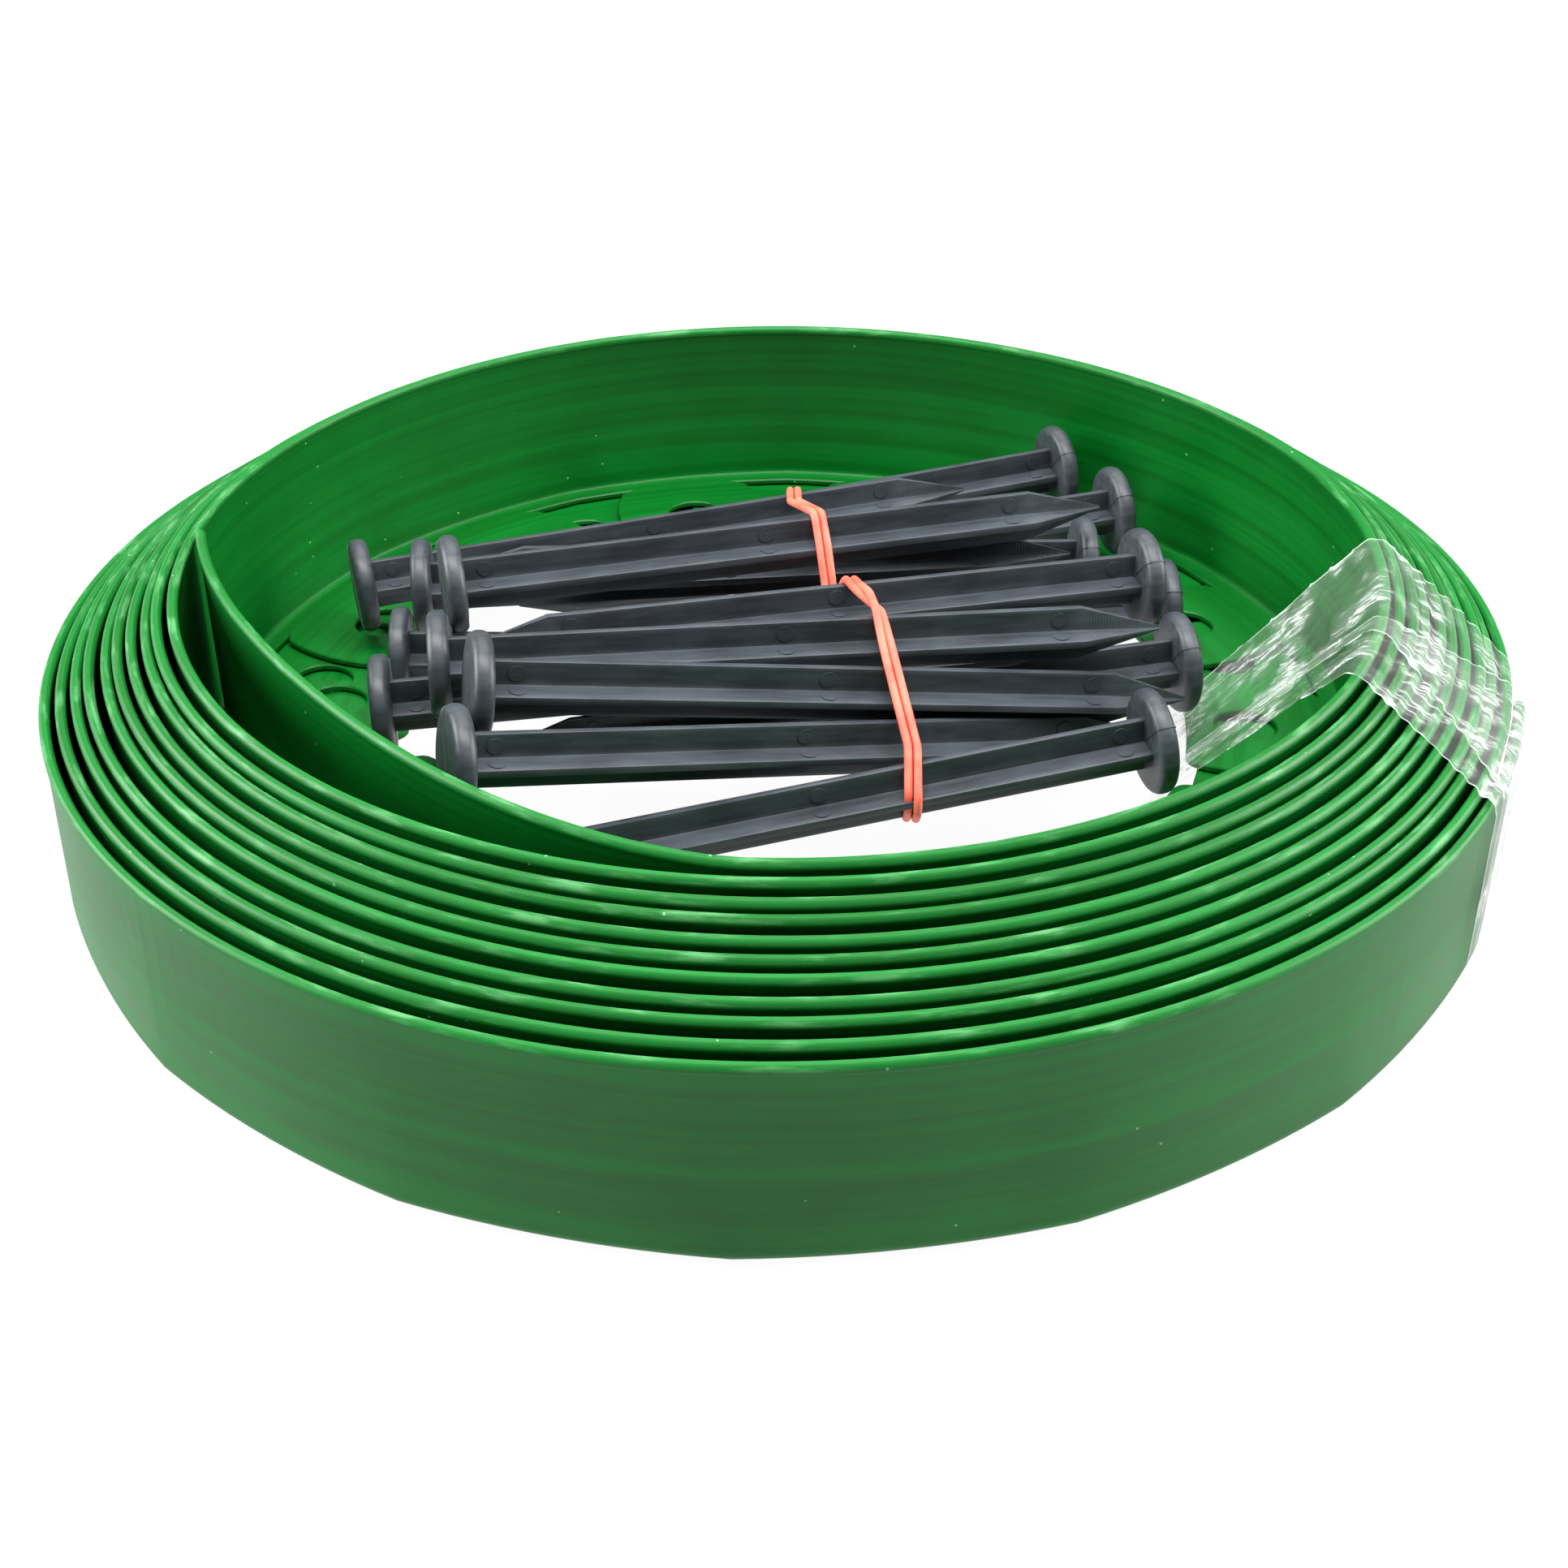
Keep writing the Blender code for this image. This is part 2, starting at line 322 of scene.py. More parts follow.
def radius_at(turn):
    """Radius of the wall's outer face, this many turns in from the outer end."""
    azimuth = azimuth_at(turn)
    towards_bulge = math.cos(azimuth - math.radians(FRONT_BULGE_AZIMUTH))
    outer_share = 1 - smooth(turn / FRONT_BULGE_TURNS)
    inner_share = smooth((turn - BACK_BULGE_FROM) / BACK_BULGE_TURNS)
    radius = OUTER_RADIUS - TURN_PITCH * turn
    radius += FRONT_BULGE * outer_share * max(0, towards_bulge) ** 2
    radius += BACK_BULGE * inner_share * max(0, math.sin(azimuth)) ** 2
    radius += UNEVENNESS * math.sin(2 * math.pi * turn / UNEVENNESS_TURNS)
    into_end = (turn - TURNS + END_LENGTH) / END_LENGTH
    if into_end > 0:
        radius -= END_PULL * math.sin(math.pi * into_end**END_SKEW)
    return radius


def height_at(turn):
    """Height of the foot's underside: each turn stays level, then climbs one step."""
    whole = math.floor(turn)
    return TURN_RISE * (whole + smooth((turn - whole - 1 + RAMP_PART) / RAMP_PART))


def coil_curve():
    """The curve that the strip is wound along, from its outer end to its inner end."""
    curve = bpy.data.curves.new("coil_curve", "CURVE")
    curve.dimensions = "3D"
    curve.twist_mode = "Z_UP"
    spline = curve.splines.new("POLY")
    count = math.ceil(TURNS * POINTS_A_TURN)
    spline.points.add(count)
    for step, point in enumerate(spline.points):
        turn = TURNS * step / count
        azimuth, radius = azimuth_at(turn), radius_at(turn)
        point.co = (radius * math.cos(azimuth), radius * math.sin(azimuth), height_at(turn), 1)
    guide = bpy.data.objects.new("coil_curve", curve)
    bpy.context.scene.collection.objects.link(guide)
    return guide


# The edging strip


def tab_half(reach):
    """Half of a flat tab's width at this distance in from the wall."""
    bulge = TAB_SIDE_RADIUS - math.sqrt(TAB_SIDE_RADIUS**2 - (reach - TAB_WIDEST) ** 2)
    half = (TAB_HALF - bulge) * FOLDED_RADIUS / (FOLDED_RADIUS - reach)
    past_corner = reach - (TAB_REACH - TAB_CORNER)
    if past_corner > 0:
        half -= TAB_CORNER - math.sqrt(max(TAB_CORNER**2 - past_corner**2, 0))
    return half


def on_fold(edge):
    place = middle(edge)
    return place.length < UNIT / 2 and abs(place.y) + abs(place.z) < EDGE_ROUND


def on_root(edge):
    """On the foot's inner edge, where the tab grows from it."""
    place = middle(edge)
    return place.y < EDGE_ROUND - ROOT_REACH and abs(place.x) < ROOT_HALF


def on_cut_edge(edge):
    place = middle(edge)
    inside = place.y < EDGE_ROUND - ROOT_REACH and abs(place.x) < UNIT / 2 - EDGE_ROUND / 2
    level = abs(edge.verts[0].co.z - edge.verts[1].co.z) < EDGE_ROUND
    return inside and level and len(edge.link_faces) == 2 and edge.calc_face_angle() > SHARP


def on_wall_top(face):
    return face.normal.z > FACING and face.calc_center_median().z > WALL_HEIGHT / 2


def on_tab(face):
    return abs(face.normal.z) > FACING and face.calc_center_median().y < -ROOT_REACH


def on_unit_end(face):
    place = face.calc_center_median()
    return abs(face.normal.x) > FACING and abs(place.x) > UNIT / 2 - EDGE_ROUND / 2


def strip_unit():
    """One tab's length of strip, flat along X: wall at y = 0, foot towards -Y."""
    unit = start_piece(
        "edging", bpy.ops.mesh.primitive_grid_add, x_subdivisions=UNIT_CUTS, y_subdivisions=1, size=1,
    )
    resize((UNIT, ROOT_REACH, 1), (0, 0, 0))
    bpy.ops.transform.translate(value=(0, -ROOT_REACH / 2, 0))
    pick(unit, "EDGE", lambda edge: middle(edge).y > -EDGE_ROUND)
    extrude((0, 0, BEAD_FOOT))
    pick(unit, "EDGE", on_fold)
    bpy.ops.mesh.bevel(offset=FOLD_RADIUS, offset_type="OFFSET", segments=4, affect="EDGES")
    pick(unit, "EDGE", on_root)
    reach, half = ROOT_REACH, ROOT_HALF
    for row in TAB_ROWS:
        extrude((0, reach - row * MM, 0))
        resize((tab_half(row * MM) / half, 1, 1), (0, -row * MM, 0))
        reach, half = row * MM, tab_half(row * MM)
    bpy.ops.mesh.select_all(action="SELECT")
    bpy.ops.mesh.normals_make_consistent(inside=False)
    close_piece()
    offset = 1 if unit.data.polygons[0].normal.z > 0 else -1
    apply_modifier(unit, "sheet", "SOLIDIFY", thickness=SHEET, offset=offset, use_even_offset=True)
    bpy.ops.object.mode_set(mode="EDIT")
    raise_bead(unit)
    flatten_tab(unit)
    close_piece()
    hole = start_piece(
        "hole", bpy.ops.mesh.primitive_cylinder_add, vertices=HOLE_SIDES, radius=1, depth=HOLE_CUTTER,
    )
    resize((HOLE_RADIUS * FOLDED_RADIUS / (FOLDED_RADIUS - HOLE_PLACE), HOLE_RADIUS, 1), (0, 0, 0))
    bpy.ops.transform.translate(value=(0, -HOLE_PLACE, 0))
    close_piece()
    combine(unit, hole, "DIFFERENCE")
    bpy.ops.object.mode_set(mode="EDIT")
    round_foot_edges(unit)
    pick(unit, "FACE", on_unit_end)
    bpy.ops.mesh.delete(type="ONLY_FACE")
    close_piece()
    stiffen_foot(unit)
    return unit


def stiffen_foot(unit):
    """The tabs keep the wall's foot straighter than its top, so it bends mostly at the slots."""
    for point in unit.data.vertices:
        low = max(0, 1 - point.co.z / STRAIGHT_HEIGHT) ** 2
        point.co.y += FACET * low * (2 * (2 * point.co.x / UNIT) ** 2 - 1)


def raise_bead(unit):
    """Thickens the wall's top edge into a round bead."""
    top = BEAD_FOOT
    thick = SHEET / MM
    pick(unit, "FACE", on_wall_top)
    for up, wide in BEAD:
        extrude((0, 0, up * MM))
        top += up * MM
        resize((1, wide / thick, 1), (0, -SHEET / 2, top))
        thick = wide


def flatten_tab(unit):
    """Merges the tab's rows, which only its outline needs."""
    pick(unit, "FACE", on_tab)
    bpy.ops.mesh.dissolve_limited(angle_limit=math.radians(0.5))


def round_foot_edges(unit):
    """A small round along the cut edges of the foot, the slots and the hole."""
    pick(unit, "EDGE", on_cut_edge)
    bpy.ops.mesh.bevel(offset=EDGE_ROUND, segments=1, affect="EDGES")


def wind_strip():
    """The whole strip: the unit repeated, cut to length, and wound along the coil's curve."""
    guide = coil_curve()
    length = guide.data.splines[0].calc_length()
    strip = strip_unit()
    count = math.ceil(length / UNIT) + 1
    apply_modifier(
        strip, "repeat", "ARRAY", count=count, use_relative_offset=False, use_constant_offset=True,
        constant_offset_displace=(UNIT, 0, 0), use_merge_vertices=True, merge_threshold=UNIT_SEAM,
    )
    bpy.ops.object.mode_set(mode="EDIT")
    for cut, outwards in ((0, -1), (length, 1)):
        bpy.ops.mesh.select_all(action="SELECT")
        bpy.ops.mesh.bisect(
            plane_co=(cut, 0, 0), plane_no=(outwards, 0, 0), use_fill=True, clear_outer=True,
        )
    close_piece()
    remember_place(strip, "strip_place")
    apply_modifier(strip, "wind", "CURVE", object=guide, deform_axis="POS_X")
    bpy.data.objects.remove(guide)
    shade(strip)
    return strip


def remember_place(piece, name):
    """Keeps each point's place before it is moved, for the patterns that follow the piece."""
    places = np.empty(len(piece.data.vertices) * 3, np.float32)
    piece.data.vertices.foreach_get("co", places)
    attribute = piece.data.attributes.new(name, "FLOAT_VECTOR", "POINT")
    attribute.data.foreach_set("vector", places)


def green_polyethylene():
    finish = Finish("green_polyethylene")
    place = finish.attribute("strip_place")
    draw_lines = finish.noise(finish.stretch(place, (2, 400, 400)), 1, detail=4)
    broad = finish.noise(finish.stretch(place, (5, 60, 60)), 1)
    mottled = finish.noise(place, 45)
    tint = (draw_lines * 0.5 + broad * 0.3 + mottled * 0.2).above(0.38, 0.62)
    base = finish.blend(tint, colour(0, 90, 20), colour(0, 109, 33))
    up = finish.axis(place, 2)
    bead = up.above(WALL_HEIGHT - 2.0 * MM, WALL_HEIGHT - 0.3 * MM)
    # Painted highlight: the bead is blended towards a pale green, a little all along it and more in noisy
    # patches, for the sheen its rim catches.
    rim_highlight = finish.noise(finish.stretch(place, (60, 300, 300)), 1, detail=5).above(0.52, 0.7)
    base = finish.blend(bead * (rim_highlight * 0.35 + 0.04), base, colour(120, 190, 130))
    dust = finish.specks(place, 130, 0.05)
    base = finish.blend(dust * 0.6, base, colour(150, 205, 160))
    grain = finish.noise(place, 900, detail=2)
    lines = finish.bump(draw_lines, 0.10 * MM, 0.5)
    finish.set(
        Base_Color=base,
        Roughness=draw_lines * 0.16 + 0.34,
        Normal=finish.bump(grain, 0.03 * MM, 0.35, lines),
        Specular_IOR_Level=0.25,
    )
    return finish.material


# The pegs


def peg_shaft():
    """Four ribs round a core, rounded along their edges and cut to a wedge at the tip."""
    start = HEAD_THICKNESS / 2
    body = PEG_LENGTH - TIP_LENGTH - start
    shaft = start_piece("peg_shaft", bpy.ops.mesh.primitive_cube_add, size=1)
    resize((body, RIB_THICKNESS, RIB_THICKNESS), (0, 0, 0))
    bpy.ops.transform.translate(value=(start + body / 2, 0, 0))
    for axis in (Vector((0, 1, 0)), Vector((0, -1, 0)), Vector((0, 0, 1)), Vector((0, 0, -1))):
        core_face = Vector((start + body / 2, 0, 0)) + axis * RIB_THICKNESS / 2
        pick(shaft, "FACE", lambda face, spot=core_face: (face.calc_center_median() - spot).length < NEAR)
        extrude(axis * (RIB_SPAN - RIB_THICKNESS) / 2)
        thinned = RIB_EDGE / RIB_THICKNESS
        scale = (1, thinned if axis.y == 0 else 1, thinned if axis.z == 0 else 1)
        resize(scale, (0, 0, 0))
    pick(shaft, "FACE", lambda face: face.normal.x > FACING)
    extrude((TIP_LENGTH, 0, 0))
    blunt = TIP_BLUNT / RIB_SPAN
    resize((1, blunt, blunt), (0, 0, 0))
    close_piece()
    apply_modifier(
        shaft, "soft_edges", "BEVEL", width=SHAFT_ROUND, segments=2, limit_method="ANGLE",
        angle_limit=math.radians(40), use_clamp_overlap=True,
    )
    return shaft


def beyond_rim(edge):
    place = middle(edge)
    return abs(place.y) > HEAD_RADIUS and abs(place.z) > HEAD_THICKNESS / 2


def peg_head():
    """A thick disc with a round rim and the fine ridge where the mould's halves met."""
    head = start_piece(
        "peg_head", bpy.ops.mesh.primitive_cylinder_add, vertices=HEAD_SIDES, radius=HEAD_RADIUS,
        depth=HEAD_THICKNESS, end_fill_type="NGON",
    )
    pick(head, "EDGE", lambda edge: abs(middle(edge).z) > HEAD_THICKNESS / 2.1)
    bpy.ops.mesh.bevel(offset=HEAD_ROUND, segments=5, affect="EDGES")
    close_piece()
    ridge = start_piece("ridge", bpy.ops.mesh.primitive_cube_add, size=1)
    resize((RIDGE_WIDTH, 2 * HEAD_RADIUS + RIDGE_ACROSS, HEAD_THICKNESS + RIDGE_THROUGH), (0, 0, 0))
    pick(ridge, "EDGE", beyond_rim)
    bpy.ops.mesh.bevel(offset=HEAD_ROUND, segments=5, affect="EDGES")
    close_piece()
    combine(head, ridge, "UNION")
    turn = Matrix.Rotation(math.pi / 2, 4, "Y") @ Matrix.Rotation(math.radians(45), 4, "Z")
    head.data.transform(Matrix.Translation((HEAD_THICKNESS / 2, 0, 0)) @ turn)
    return head


def pin_marks():
    """The faint discs that the ejector pins leave on the ribs' faces, joined as one piece."""
    marks = []
    middle_of_rib = (RIB_SPAN / 2 + RIB_THICKNESS / 2) / 2
    quarter_turn = Matrix.Rotation(math.pi / 2, 4, "X")
    for place in PIN_PLACES:
        for side in (-1, 1):
            flat = Matrix.Translation((place, side * middle_of_rib, 0))
            upright = Matrix.Translation((place, 0, side * middle_of_rib)) @ quarter_turn
            for lie in (flat, upright):
                mark = start_piece(
                    "pin_mark", bpy.ops.mesh.primitive_cylinder_add, vertices=24, radius=PIN_RADIUS,
                    depth=RIB_THICKNESS + 2 * PIN_PROUD,
                )
                close_piece()
                mark.data.transform(lie)
                marks.append(mark)
    bpy.ops.object.select_all(action="DESELECT")
    for mark in marks:
        mark.select_set(True)
    bpy.context.view_layer.objects.active = marks[0]
    bpy.ops.object.join()
    return bpy.context.object


def model_peg():
    peg = peg_shaft()
    combine(peg, pin_marks(), "UNION")
    combine(peg, peg_head(), "UNION")
    remember_place(peg, "peg_place")
    shade(peg, 40)
    return peg


def ends_of(points, along):
    """A peg's points near its two ends, the lower end along this direction first."""
    reach = points @ along
    low = points[reach < reach.min() + HEAD_THICKNESS]
    high = points[reach > reach.max() - HEAD_THICKNESS]
    return low, high


def lie_of(node):
    """The turn and place that carry a peg from x = 0 to where this CAD peg lies."""
    points = np.array([point.co for point in node.data.vertices])
    along = np.zeros(3)
    along[np.ptp(points, axis=0).argmax()] = 1
    for _ in range(AXIS_ROUNDS):
        low, high = ends_of(points, along)
        along = high.mean(0) - low.mean(0)
        along /= np.linalg.norm(along)
    low, high = ends_of(points, along)
    if np.ptp(low, axis=0).max() < np.ptp(high, axis=0).max():
        along, low = -along, high
    face = low.mean(0)
    face += along * ((points @ along).min() - face @ along)
    ahead = Vector(along)
    side = Vector((0, 0, 1)).cross(ahead).normalized()
    turn = Matrix((ahead, side, ahead.cross(side))).transposed().to_4x4()
    return Matrix.Translation(face) @ turn


def lay_pegs(look):
    model = model_peg()
    model.data.materials.clear()
    model.data.materials.append(look)
    pegs = []
    for name, node in sorted(NODES.items()):
        if not name.startswith("ground_peg"):
            continue
        mesh = model.data.copy()
        mesh.transform(lie_of(node))
        peg = bpy.data.objects.new(name + "_moulded", mesh)
        bpy.context.scene.collection.objects.link(peg)
        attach(peg, "peg_bundle")
        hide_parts(name)
        pegs.append(peg)
    bpy.data.objects.remove(model)
    return pegs


def slate_plastic():
    finish = Finish("slate_plastic")
    place = finish.attribute("peg_place")
    world = finish.place()
    flow = finish.noise(finish.stretch(place, (60, 500, 500)), 1, detail=5)
    cloud = finish.noise(world, 60)
    tint = (flow * 0.6 + cloud * 0.4).above(0.35, 0.65)
    base = finish.blend(tint, colour(44, 49, 54), colour(64, 70, 76))
    grain = finish.noise(world, 1400, detail=2)
    along = finish.axis(place, 0)
    tip = along.above(PEG_LENGTH - TIP_LENGTH, PEG_LENGTH - TIP_LENGTH + 2 * MM)
    combed = (along * (2 * math.pi / (0.7 * MM))).math("SINE") * tip
    fine = finish.bump(grain, 0.05 * MM, 0.4)
    finish.set(
        Base_Color=base,
        Roughness=flow * 0.2 + 0.34,
        Normal=finish.bump(combed, 0.05 * MM, 0.35, fine),
        Specular_IOR_Level=0.5,
    )
    return finish.material


# The rubber band


BAND_X_BACK = 3 * MM
BAND_X_FRONT = 28 * MM
BAND_Y_BACK = 45 * MM
BAND_Y_FRONT = -60 * MM
STRAND_RADIUS = 0.95 * MM
STRAND_APART = 2.0 * MM
CROSS_Y = -25 * MM  # where the strands cross
CROSS_LENGTH = 9 * MM
DIP_FROM, DIP_TO = -12 * MM, 20 * MM  # the band sinks into the gap between the bundle's halves
DIP_LIFT = 1 * MM
BAND_SEARCH = 115 * MM  # where the search for the pegs under the band starts
BAND_STEPS = 240
BAND_STEP = 0.8 * MM
BAND_SOFTENINGS = 2
RAY_TOP, RAY_BOTTOM = 0.2, -0.1  # heights that the search looks from
STRAND_ROOM = 1.15  # strand radii from the pegs' faces to the strand's middle
SEARCH_DIGITS = 5


def band_x(y):
    share = (BAND_Y_BACK - y) / (BAND_Y_BACK - BAND_Y_FRONT)
    return BAND_X_BACK + (BAND_X_FRONT - BAND_X_BACK) * min(max(share, 0), 1)


def half_hull(points, sign):
    """Upper (sign 1) or lower (sign -1) taut line over (y, z) points, from back to front."""
    kept = []
    for point in sorted(points, reverse=True):
        while len(kept) > 1:
            (ay, az), (by, bz) = kept[-2], kept[-1]
            if sign * ((by - ay) * (point[1] - az) - (bz - az) * (point[0] - ay)) > 0:
                break
            kept.pop()
        kept.append(point)
    return kept


def strand_ring(pegs, shift):
    """The strand's (y, z) outline: taut over each of the bundle's two halves, and under both."""
    tops, bottoms = [], []
    for peg in pegs:
        points = [vertex.co for vertex in peg.data.vertices]
        tree = BVHTree.FromPolygons(points, [face.vertices for face in peg.data.polygons])
        for step in range(BAND_STEPS):
            y = BAND_SEARCH - step * MM
            for z, way, found in ((RAY_TOP, -1, tops), (RAY_BOTTOM, 1, bottoms)):
                hit = tree.ray_cast(Vector((band_x(y) + shift, y, z)), Vector((0, 0, way)))[0]
                if hit is not None:
                    found.append((round(hit.y, SEARCH_DIGITS), hit.z - way * STRAND_RADIUS * STRAND_ROOM))
    ridge = {}
    for y, z in tops:
        ridge[y] = max(ridge.get(y, z), z)
    dip = min((z, y) for y, z in ridge.items() if DIP_FROM < y < DIP_TO)
    dip = (dip[1], dip[0] + DIP_LIFT)
    both = tops + bottoms
    back = half_hull([point for point in both if point[0] > dip[0]] + [dip], 1)
    front = half_hull([point for point in both if point[0] < dip[0]] + [dip], 1)
    under = half_hull(both, -1)
    return back + front[1:] + under[::-1][1:-1]


def fine_ring(ring):
    """The same closed outline in even short steps, its corners a little rounded."""
    fine = []
    for (ay, az), (by, bz) in zip(ring, ring[1:] + ring[:1]):
        count = max(1, round(math.hypot(by - ay, bz - az) / BAND_STEP))
        fine += [(ay + (by - ay) * n / count, az + (bz - az) * n / count) for n in range(count)]
    for _ in range(BAND_SOFTENINGS):
        fine = [
            ((a[0] + 2 * b[0] + c[0]) / 4, (a[1] + 2 * b[1] + c[1]) / 4)
            for a, b, c in zip(fine[-1:] + fine[:-1], fine, fine[1:] + fine[:1])
        ]
    return fine


def band_strand(pegs, side, look, number):
    """One of the band's two strands, which cross over each other once on top of the pegs."""
    ring = fine_ring(strand_ring(pegs, side * STRAND_APART / 2))
    curve = bpy.data.curves.new("strand", "CURVE")
    curve.dimensions = "3D"
    curve.bevel_depth = STRAND_RADIUS
    curve.bevel_resolution = 3
    spline = curve.splines.new("POLY")
    spline.points.add(len(ring) - 1)
    middle_z = sum(z for _, z in ring) / len(ring)
    for point, (y, z) in zip(spline.points, ring):
        swing = math.tanh((y - CROSS_Y) / CROSS_LENGTH)
        hop = STRAND_RADIUS * 2 * math.exp(-(((y - CROSS_Y) / CROSS_LENGTH) ** 2)) * (side > 0)
        up = 1 if z > middle_z else -1
        point.co = (band_x(y) + side * swing * STRAND_APART / 2, y, z + hop * up, 1)
    spline.use_cyclic_u = True
    strand = bpy.data.objects.new(f"rubber_strand_{number}", curve)
    bpy.context.scene.collection.objects.link(strand)
    select_only(strand)
    bpy.ops.object.convert(target="MESH")
    strand = bpy.context.object
    strand.data.materials.clear()
    strand.data.materials.append(look)
    shade(strand, 60)
    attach(strand, "peg_bundle")
    return strand


def coral_rubber():
    finish = Finish("coral_rubber")
    place = finish.place()
    cloud = finish.noise(place, 120, detail=4)
    base = finish.blend(cloud.above(0.35, 0.65), colour(226, 92, 72), colour(250, 122, 98))
    grain = finish.noise(place, 1500, detail=2)
    finish.set(Base_Color=base, Roughness=cloud * 0.2 + 0.45, Normal=finish.bump(grain, 0.05 * MM, 0.4))
    return finish.material


# The packing tape


TAPE_GAP = 0.9 * MM  # from the outermost wall and the rims
TAPE_FOOT_GAP = 3.6 * MM
TAPE_FLOOR_GAP = 0.6 * MM
TAPE_FILM = 0.06 * MM
TAPE_ALONG = 260  # cells along it and across it
TAPE_ACROSS = 60
TAPE_CELL = 0.8 * MM
TAPE_HALF = 24 * MM  # half its width
EDGE_LINE = 23.3 * MM  # from its middle, where the pale line along its edges starts
LEAVES_WALL = (52 * MM, 60 * MM)  # along it, where it turns over the outer rim
OUTER_TURN = 1 * MM  # how far from the outer rim it turns, and from the inner one
INNER_TURN = 0.8 * MM
INNER_TURN_END = 2.4 * MM
INNER_TURN_DROP = 1.5 * MM
TURN_SHARES = (0.02, 0.97)  # how far inwards it is at the outer rim and at the inner one
RIM_SAG = 0.75 * MM
SAG_SHARE = 0.7
FOLD_HEIGHT = 0.55 * MM
FOLDS = (9, 3.2)  # how close together they lie, along it and across it
FOLD_SLANT = 4
FOLD_SHARE = 1.2
CREASE_SHARE = 0.8
CREASE_SCALE = 2.3
CREASE_SHARPNESS = 5
ON_TOP_SHARE = 0.6  # of the folds' height, over the rims
ON_WALL_SHARE = 0.15  # and against the outer wall
UNDER_WINDING = ((331, 348.7), (338.5, 358))  # azimuths of its edges, on the outside and inside
OVER_WINDING = ((328.6, 346.2), (329.2, 341))
WINDING_STEP = 0.35 * MM


def tape_corners(lift):
    """The tape's way over the coil as (radius, height, share of the way inwards)."""
    last = math.floor(TURNS)
    inner_wall = radius_at(last)
    foot = TURN_RISE * last
    top = foot + WALL_HEIGHT + TAPE_GAP + lift
    outside = OUTER_RADIUS + TAPE_GAP + lift
    inside = inner_wall - TAB_REACH - TAPE_FOOT_GAP
    return [
        (outside, TAPE_FLOOR_GAP, 0),
        (outside, WALL_HEIGHT - OUTER_TURN, 0),
        (outside - OUTER_TURN, WALL_HEIGHT + TAPE_GAP + lift, TURN_SHARES[0]),
        (inner_wall + OUTER_TURN, top, TURN_SHARES[1]),
        (inner_wall - SHEET - INNER_TURN, top, 1),
        (inner_wall - SHEET - INNER_TURN_END, top - INNER_TURN_DROP, 1),
        (inside, foot + SHEET, 1),
        (inside, TAPE_FLOOR_GAP, 1),
    ]


def tape_spot(corners, along):
    """The place this share of the way along the tape, and the way out from the coil there."""
    lengths = [math.dist(a[:2], b[:2]) for a, b in zip(corners, corners[1:])]
    left = along * sum(lengths)
    for (first, last), length in zip(zip(corners, corners[1:]), lengths):
        if left <= length or last is corners[-1]:
            break
        left -= length
    share = min(left / length, 1)
    radius, height, inwards = (a + (b - a) * share for a, b in zip(first, last))
    out = ((last[1] - first[1]) / length, (first[0] - last[0]) / length)
    return radius, height, inwards, out


def tape_push(radius, height, along, across, seed):
    """How far the film stands off its way here: out in a fold or crease, or in between two rims."""
    inner_wall = radius_at(math.floor(TURNS))
    place = Vector((along * FOLDS[0], across * FOLDS[1], seed))
    fold = noise.noise(place + Vector((across * FOLD_SLANT, 0, 0)))
    crease = 1 - min(abs(noise.noise(place * CREASE_SCALE)) * CREASE_SHARPNESS, 1)
    push = FOLD_HEIGHT * (max(fold, 0) * FOLD_SHARE + crease**3 * CREASE_SHARE)
    if inner_wall < radius < OUTER_RADIUS - TURN_PITCH / 2 and height > WALL_HEIGHT:
        between = math.sin(math.pi * (OUTER_RADIUS - SHEET / 2 - radius) / TURN_PITCH) ** 2
        push = push * ON_TOP_SHARE - RIM_SAG * between * (SAG_SHARE + fold)
    if height < WALL_HEIGHT and radius > inner_wall:
        push *= ON_WALL_SHARE
    if radius < inner_wall - TAB_REACH:
        push = 0
    return push


def tape_winding(name, edges, lift, look, seed):
    """One winding of film: a grid laid along its way over the coil, sagging and wrinkled."""
    sheet = start_piece(
        name, bpy.ops.mesh.primitive_grid_add, x_subdivisions=TAPE_ALONG,
        y_subdivisions=TAPE_ACROSS, size=1,
    )
    close_piece()
    corners = tape_corners(lift)
    for point in sheet.data.vertices:
        along, across = point.co.x + 0.5, point.co.y + 0.5
        radius, height, inwards, out = tape_spot(corners, along)
        low, high = (outer + (inner - outer) * inwards for outer, inner in zip(*edges))
        azimuth = math.radians(low + (high - low) * across)
        push = tape_push(radius, height, along, across, seed)
        radius += out[0] * push
        height = max(height + out[1] * push, TAPE_FLOOR_GAP)
        point.co = (radius * math.cos(azimuth), radius * math.sin(azimuth), height)
    lay_places(sheet, "tape_place")
    apply_modifier(sheet, "film", "SOLIDIFY", thickness=TAPE_FILM, offset=0)
    sheet.data.materials.append(look)
    shade(sheet, 60)
    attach(sheet, "coil")
    return sheet


def lay_places(sheet, name):
    """Keeps each point's place on the flat film: metres along it and across it."""
    attribute = sheet.data.attributes.new(name, "FLOAT_VECTOR", "POINT")
    row = TAPE_ALONG + 1
    for number, entry in enumerate(attribute.data):
        entry.vector = (number % row * TAPE_CELL, number // row * TAPE_CELL, 0)


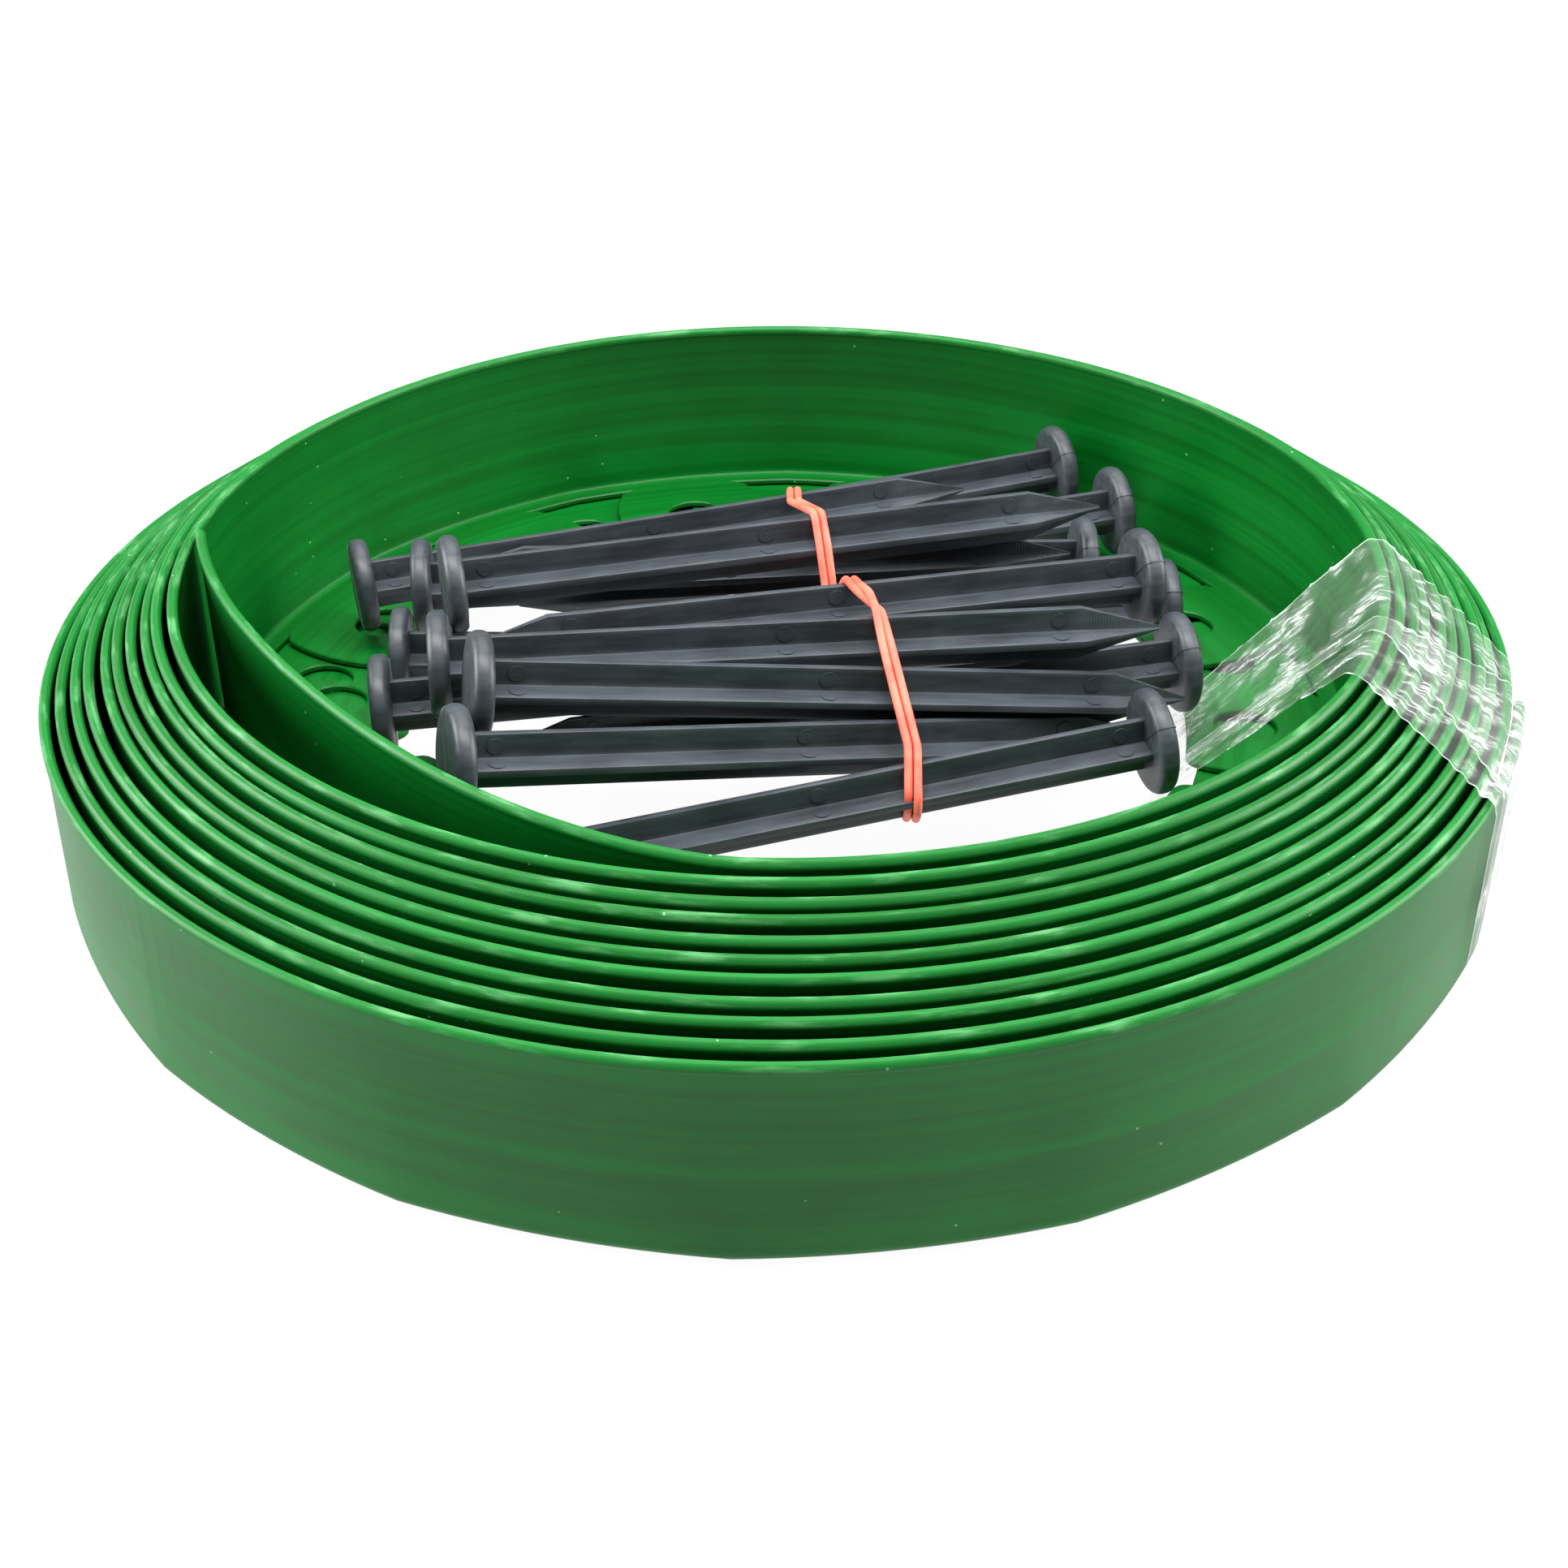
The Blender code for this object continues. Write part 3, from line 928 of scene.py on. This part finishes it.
def clear_film():
    finish = Finish("clear_film")
    place = finish.attribute("tape_place")
    long_way = finish.noise(finish.stretch(place, (45, 190, 1)), 1, detail=5, roughness=0.6)
    ridge = 1 - (abs(long_way - 0.5) * 14).math("MINIMUM", 1)
    blotch = finish.noise(finish.stretch(place, (60, 45, 1)), 1, detail=2)
    # Painted highlights: the film turns whiter and more opaque in streaks along the wrinkles' ridges,
    # where it would catch the light.
    wrinkle_highlight = (ridge**3) * blotch.above(0.48, 0.62)
    fine = finish.noise(finish.stretch(place, (260, 900, 1)), 1, detail=3)
    edge = abs(finish.axis(place, 1) - TAPE_HALF).above(EDGE_LINE, TAPE_HALF)
    on_wall = 1 - finish.axis(place, 0).above(*LEAVES_WALL)
    haze = blotch.above(0.4, 0.75) * 0.08 + 0.03 + on_wall * 0.07
    alpha = haze + wrinkle_highlight * 0.5 + edge * 0.35
    height = long_way * 0.7 + fine * 0.1
    finish.set(
        Base_Color=(0.86, 0.9, 0.86, 1),
        Roughness=0.12,
        Alpha=alpha.math("MINIMUM", 0.85),
        Normal=finish.bump(height, 0.8 * MM, 0.6),
        Specular_IOR_Level=1.0,
        Coat_Weight=0.6,
        Coat_Roughness=0.05,
    )
    return finish.material


# Floor, light and camera


FLOOR_SIZE = 30
FLOOR_DROP = 0.5 * MM  # below the coil's feet, so that the two don't share a plane
STUDIO_LIGHTS = (  # name, place, what it points at, width and height, watts
    ("left_softbox", (-1.5, 0.15, 0.6), (0, 0, 0.03), (1.0, 1.0), 38),
    ("right_softbox", (1.5, 0.15, 0.6), (0, 0, 0.03), (1.0, 1.0), 34),
    ("top_softbox", (0, -0.2, 0.95), (0, 0, 0), (1.3, 0.3), 21),
    ("back_softbox", (0, 0.9, 1.5), (0, 0, 0), (1.6, 0.8), 18),
)
AIR_LIGHT = 0.06


def area_light(name, place, aim, size, power):
    light = bpy.data.lights.new(name, "AREA")
    light.shape = "RECTANGLE"
    light.size, light.size_y = size
    light.energy = power
    lamp = bpy.data.objects.new(name, light)
    bpy.context.scene.collection.objects.link(lamp)
    lamp.location = place
    lamp.rotation_euler = (Vector(aim) - Vector(place)).to_track_quat("-Z", "Y").to_euler()


def build_studio():
    bpy.ops.object.select_all(action="DESELECT")
    bpy.ops.mesh.primitive_plane_add(size=FLOOR_SIZE, location=(0, 0, -FLOOR_DROP))
    floor = bpy.context.object
    floor.name = "studio_floor"
    paper = Finish("studio_paper")
    paper.set(
        Base_Color=(0.04, 0.04, 0.04, 1),
        Roughness=0.9,
        Emission_Color=(1, 1, 1, 1),
        Emission_Strength=0.96,
    )
    floor.data.materials.append(paper.material)
    for light in STUDIO_LIGHTS:
        area_light(*light)
    world = bpy.data.worlds.new("studio_air")
    bpy.context.scene.world = world
    world.use_nodes = True
    air = world.node_tree.nodes["Background"].inputs
    air["Color"].default_value = (1, 1, 1, 1)
    air["Strength"].default_value = AIR_LIGHT
    bpy.context.scene.view_settings.view_transform = "Standard"


def place_camera():
    camera = bpy.data.cameras.new("camera")
    camera.lens = LENS
    camera.sensor_width = SENSOR
    camera.clip_start = 0.01
    holder = bpy.data.objects.new("camera", camera)
    bpy.context.scene.collection.objects.link(holder)
    holder.location = CAMERA_PLACE
    holder.rotation_euler = (CAMERA_TILT, 0, 0)
    bpy.context.scene.camera = holder


place_camera()
build_studio()
strip = wind_strip()
strip.data.materials.clear()
strip.data.materials.append(green_polyethylene())
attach(strip, "coil")
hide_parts("edging_strip")
pegs = lay_pegs(slate_plastic())
coral = coral_rubber()
strands = [band_strand(pegs, side, coral, number) for number, side in ((1, -1), (2, 1))]
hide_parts("rubber_band")
film = clear_film()
under = tape_winding("tape_winding_under", UNDER_WINDING, 0, film, 3)
over = tape_winding("tape_winding_over", OVER_WINDING, WINDING_STEP, film, 11)
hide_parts("packing_tape")
